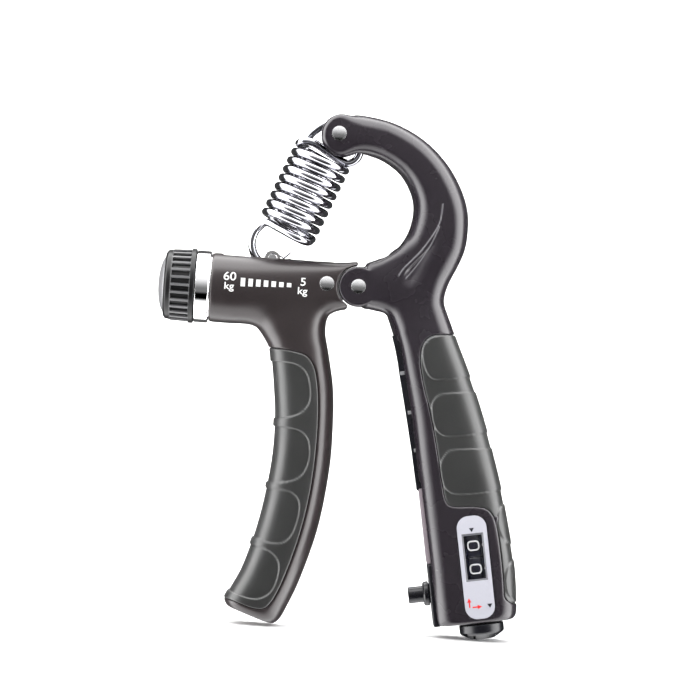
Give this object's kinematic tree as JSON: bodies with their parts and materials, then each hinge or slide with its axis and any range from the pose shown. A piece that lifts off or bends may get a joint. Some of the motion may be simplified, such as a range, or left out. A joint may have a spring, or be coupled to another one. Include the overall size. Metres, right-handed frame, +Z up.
{
  "type": "hand dynamometer",
  "caption": "Adjustable hand grip dynamometer: two hinged handles with soft grips, a tension spring set by a ribbed knob, and a push counter with digit wheels.",
  "frame": {"origin": "on the floor under the middle of the object's box, where both handle ends stand", "axes": "+Z up along the handles, +X from the adjuster knob to the palm handle, -Y the side that carries the counter's window"},
  "size_m": [0.1196, 0.0249, 0.1618],
  "materials": {
    "left_plastic": "satin",
    "right_plastic": "satin gloss",
    "grip_rubber": "matte soft touch",
    "polished_steel": "polished",
    "chrome": "mirror",
    "spring_wire": "bright plated",
    "brass": "machined",
    "black_plastic": "gloss",
    "grey_plastic": "matte",
    "cap_grey": "satin",
    "label_white": "printed film",
    "drum_black": "satin",
    "acetal_white": "moulded",
    "clear_window": "clear"
  },
  "bodies": {
    "palm_handle": {"right_handle": "right_plastic", "right_grip": "grip_rubber", "hook_pin": "polished_steel", "pivot_rivet": "polished_steel", "counter_frame": "black_plastic", "counter_faceplate": "black_plastic", "button_collar": "black_plastic", "counter_label": "label_white", "counter_window": "clear_window", "channel_cover": "grey_plastic", "pinion_axle": "polished_steel"},
    "finger_handle": {"left_handle": "left_plastic", "left_grip": "grip_rubber", "tongue_plate": "polished_steel", "pivot_bush": "brass", "chrome_ring": "chrome", "bearing_bush": "brass", "thrust_washer": "acetal_white", "fixing_rivet": "polished_steel"},
    "adjuster": {"adjuster_knob": "black_plastic", "knob_cap": "cap_grey", "adjuster_screw": "polished_steel", "knob_screw": "polished_steel"},
    "nut": {"travelling_nut": "brass"},
    "nut_pin": {"nut_pin": "polished_steel"},
    "spring_lower": {"tension_spring_lower": "spring_wire"},
    "spring_upper": {"tension_spring_upper": "spring_wire"},
    "spring_eye": {"tension_spring_eye": "spring_wire"},
    "button": {"count_button": "black_plastic", "drive_pawl": "polished_steel", "button_spring": "spring_wire"},
    "reset": {"reset_knob": "black_plastic", "wheel_shaft": "polished_steel"},
    "units": {"units_wheel": "drum_black", "ratchet_wheel": "acetal_white"},
    "tens": {"tens_wheel": "drum_black"},
    "pinion": {"transfer_pinion": "acetal_white"}
  },
  "joints": [
    {"name": "squeeze", "type": "hinge", "parent": "palm_handle", "child": "finger_handle", "pos_m": [0.0031, 0, 0.1079], "axis": [0, -1, 0], "range_deg": [0, 20.5], "stiffness_Nm_per_rad": 3, "springref_deg": -20.05},
    {"name": "knob_turn", "type": "hinge", "parent": "finger_handle", "child": "adjuster", "pos_m": [-0.0519, 0, 0.1046], "axis": [1, 0, 0], "range_deg": [-1171, 1351]},
    {"name": "nut_travel", "type": "slide", "parent": "finger_handle", "child": "nut", "axis": [1, 0, 0], "range_m": [-0.0075, 0.0065]},
    {"name": "nut_pin_turn", "type": "hinge", "parent": "nut", "child": "nut_pin", "pos_m": [-0.0245, 0, 0.115], "axis": [0, -1, 0], "range_deg": [-8.8, 7.6]},
    {"name": "spring_swing", "type": "hinge", "parent": "nut_pin", "child": "spring_lower", "pos_m": [-0.0245, 0, 0.115], "axis": [0, -1, 0], "range_deg": [-16.8, 0]},
    {"name": "spring_stretch", "type": "slide", "parent": "spring_lower", "child": "spring_upper", "axis": [0.4126, 0, 0.9109], "range_m": [0, 0.00965], "deforming": ["tension_spring_lower", "tension_spring_upper"]},
    {"name": "eye_shift", "type": "slide", "parent": "spring_upper", "child": "spring_eye", "axis": [0.4126, 0, 0.9109], "range_m": [-0.0028, 0.0032], "deforming": ["tension_spring_eye"]},
    {"name": "button_press", "type": "slide", "parent": "palm_handle", "child": "button", "axis": [0.9845, 0, 0.1754], "range_m": [0, 0.0031], "stiffness_N_per_m": 100, "springref_m": -0.001, "deforming": ["button_spring"]},
    {"name": "reset_turn", "type": "hinge", "parent": "palm_handle", "child": "reset", "pos_m": [0.0452, -0.0042, 0.026], "axis": [-0.1754, 0, 0.9845], "continuous": true},
    {"name": "units_turn", "type": "hinge", "parent": "palm_handle", "child": "units", "pos_m": [0.0452, -0.0042, 0.026], "axis": [-0.1754, 0, 0.9845], "continuous": true},
    {"name": "tens_turn", "type": "hinge", "parent": "palm_handle", "child": "tens", "pos_m": [0.0452, -0.0042, 0.026], "axis": [-0.1754, 0, 0.9845], "continuous": true},
    {"name": "pinion_turn", "type": "hinge", "parent": "palm_handle", "child": "pinion", "pos_m": [0.0501, 0.0026, 0.0269], "axis": [-0.1754, 0, 0.9845], "continuous": true}
  ],
  "couplings": [
    {"joint": "knob_turn", "follows": "nut_travel", "rad_per_m": -3141.6},
    {"joint": "nut_pin_turn", "follows": "nut_travel", "rad_per_m": 20.298},
    {"joint": "eye_shift", "follows": "nut_travel", "ratio": -0.4169},
    {"joint": "spring_swing", "follows": "squeeze", "ratio": -0.8181},
    {"joint": "spring_stretch", "follows": "squeeze", "m_per_rad": 0.02692},
    {"joint": "units_turn", "follows": "reset_turn", "ratio": 1},
    {"joint": "tens_turn", "follows": "reset_turn", "ratio": 0.1},
    {"joint": "pinion_turn", "follows": "reset_turn", "ratio": -0.25}
  ]
}
